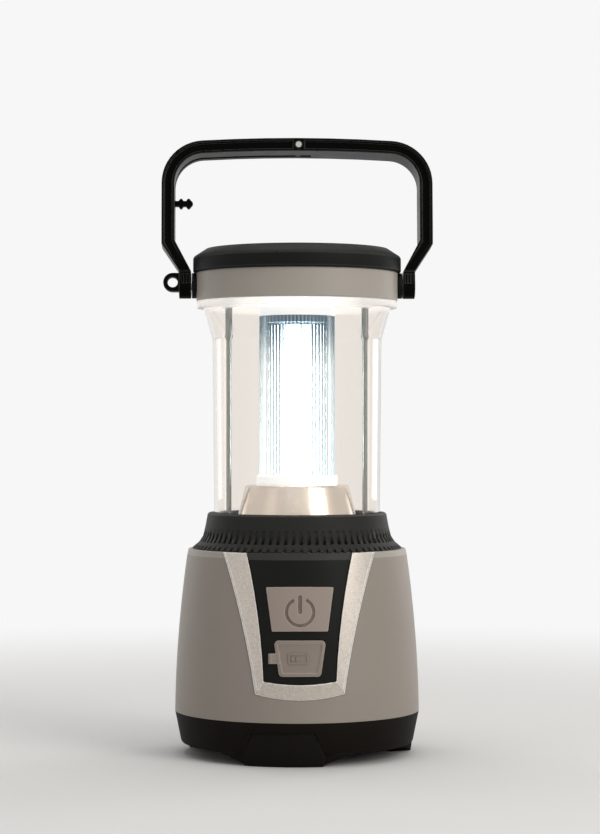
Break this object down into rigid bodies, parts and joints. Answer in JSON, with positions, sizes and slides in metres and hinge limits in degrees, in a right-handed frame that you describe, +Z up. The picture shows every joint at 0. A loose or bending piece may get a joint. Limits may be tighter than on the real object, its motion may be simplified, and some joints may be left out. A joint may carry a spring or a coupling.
{
  "type": "camping lantern",
  "caption": "Rechargeable camping lantern: tapered body with control panel, knurled ring, clear globe round a fluted lamp, folding bail with stowed hook.",
  "frame": {"origin": "centre of the base, on the ground", "axes": "+Z up along the body, -Y out of the control panel, +X to the right of someone facing the panel"},
  "size_m": [0.1228, 0.1109, 0.2785],
  "materials": {
    "skirt_plastic": "fine matt texture",
    "foot_rubber": "matt",
    "shell_plastic": "fine matt texture",
    "bezel_silver": "speckled satin silver",
    "panel_black": "satin",
    "key_grey": "matt",
    "flap_rubber": "matt",
    "board_green": "solder mask",
    "screw_steel": "zinc plated",
    "switch_black": "moulded",
    "socket_steel": "nickel plated",
    "cell_wrap": "blue shrink sleeve",
    "cradle_black": "moulded",
    "contact_nickel": "plain nickel strip",
    "ring_black": "moulded",
    "deck_black": "moulded",
    "seal_silicone": "translucent white",
    "globe_clear": "clear polycarbonate",
    "reflector_silver": "satin metallised",
    "lamp_white": "smooth white",
    "diffuser_clear": "ribbed, clear",
    "post_aluminium": "extruded",
    "led_white": "lit phosphor",
    "rod_steel": "polished",
    "head_grey": "fine matt texture",
    "cap_black": "fine matt texture",
    "pad_black": "matt",
    "bail_black": "glossy",
    "pin_steel": "turned"
  },
  "bodies": {
    "housing": {"base_skirt": "skirt_plastic", "rubber_feet": "foot_rubber", "base_screws": "screw_steel", "body_shell": "shell_plastic", "bezel_frame": "bezel_silver", "control_panel": "panel_black", "control_board": "board_green", "board_screws": "screw_steel", "button_switch": "switch_black", "usb_output_socket": "socket_steel", "charging_socket": "socket_steel", "battery_cells": "cell_wrap", "battery_cradle": "cradle_black", "battery_clamp": "cradle_black", "battery_contacts": "contact_nickel", "cradle_screws": "screw_steel", "lamp_deck": "deck_black", "deck_screws": "screw_steel", "globe_seal": "seal_silicone", "globe": "globe_clear", "reflector_cone": "reflector_silver", "lower_collar": "lamp_white", "fluted_diffuser": "diffuser_clear", "top_collar": "lamp_white", "led_post": "post_aluminium", "led_strips": "led_white", "tie_rods": "rod_steel", "rod_nuts": "screw_steel", "head_plate": "lamp_white", "head_ring": "head_grey", "top_cap": "cap_black", "cap_screws": "screw_steel", "left_pivot_pad": "pad_black", "right_pivot_pad": "pad_black", "left_pivot_pin": "pin_steel", "right_pivot_pin": "pin_steel"},
    "handle": {"bail": "bail_black", "hook_pin": "pin_steel"},
    "hanging_hook": {"hook": "bail_black"},
    "key": {"power_button": "key_grey"},
    "flap": {"port_cover": "flap_rubber"},
    "ring": {"knurled_ring": "ring_black"}
  },
  "joints": [
    {"name": "bail_fold", "type": "hinge", "parent": "housing", "child": "handle", "pos_m": [0, 0, 0.2115], "axis": [1, 0, 0], "range_deg": [-126, 136]},
    {"name": "hook_swing", "type": "hinge", "parent": "handle", "child": "hanging_hook", "pos_m": [0.0007, 0.00554, 0.27481], "axis": [0, 0.9962, -0.0872], "range_deg": [0, 115]},
    {"name": "key_press", "type": "slide", "parent": "housing", "child": "key", "axis": [0, 0.9947, -0.1026], "range_m": [0, 0.0008], "stiffness_N_per_m": 600, "springref_m": -0.002},
    {"name": "flap_open", "type": "hinge", "parent": "housing", "child": "flap", "pos_m": [-0.01295, -0.05378, 0.04727], "axis": [0, -0.065, -0.9979], "range_deg": [0, 110]},
    {"name": "ring_twist", "type": "hinge", "parent": "housing", "child": "ring", "pos_m": [0, 0, 0.0928], "axis": [0, 0, 1], "range_deg": [0, 30]}
  ]
}
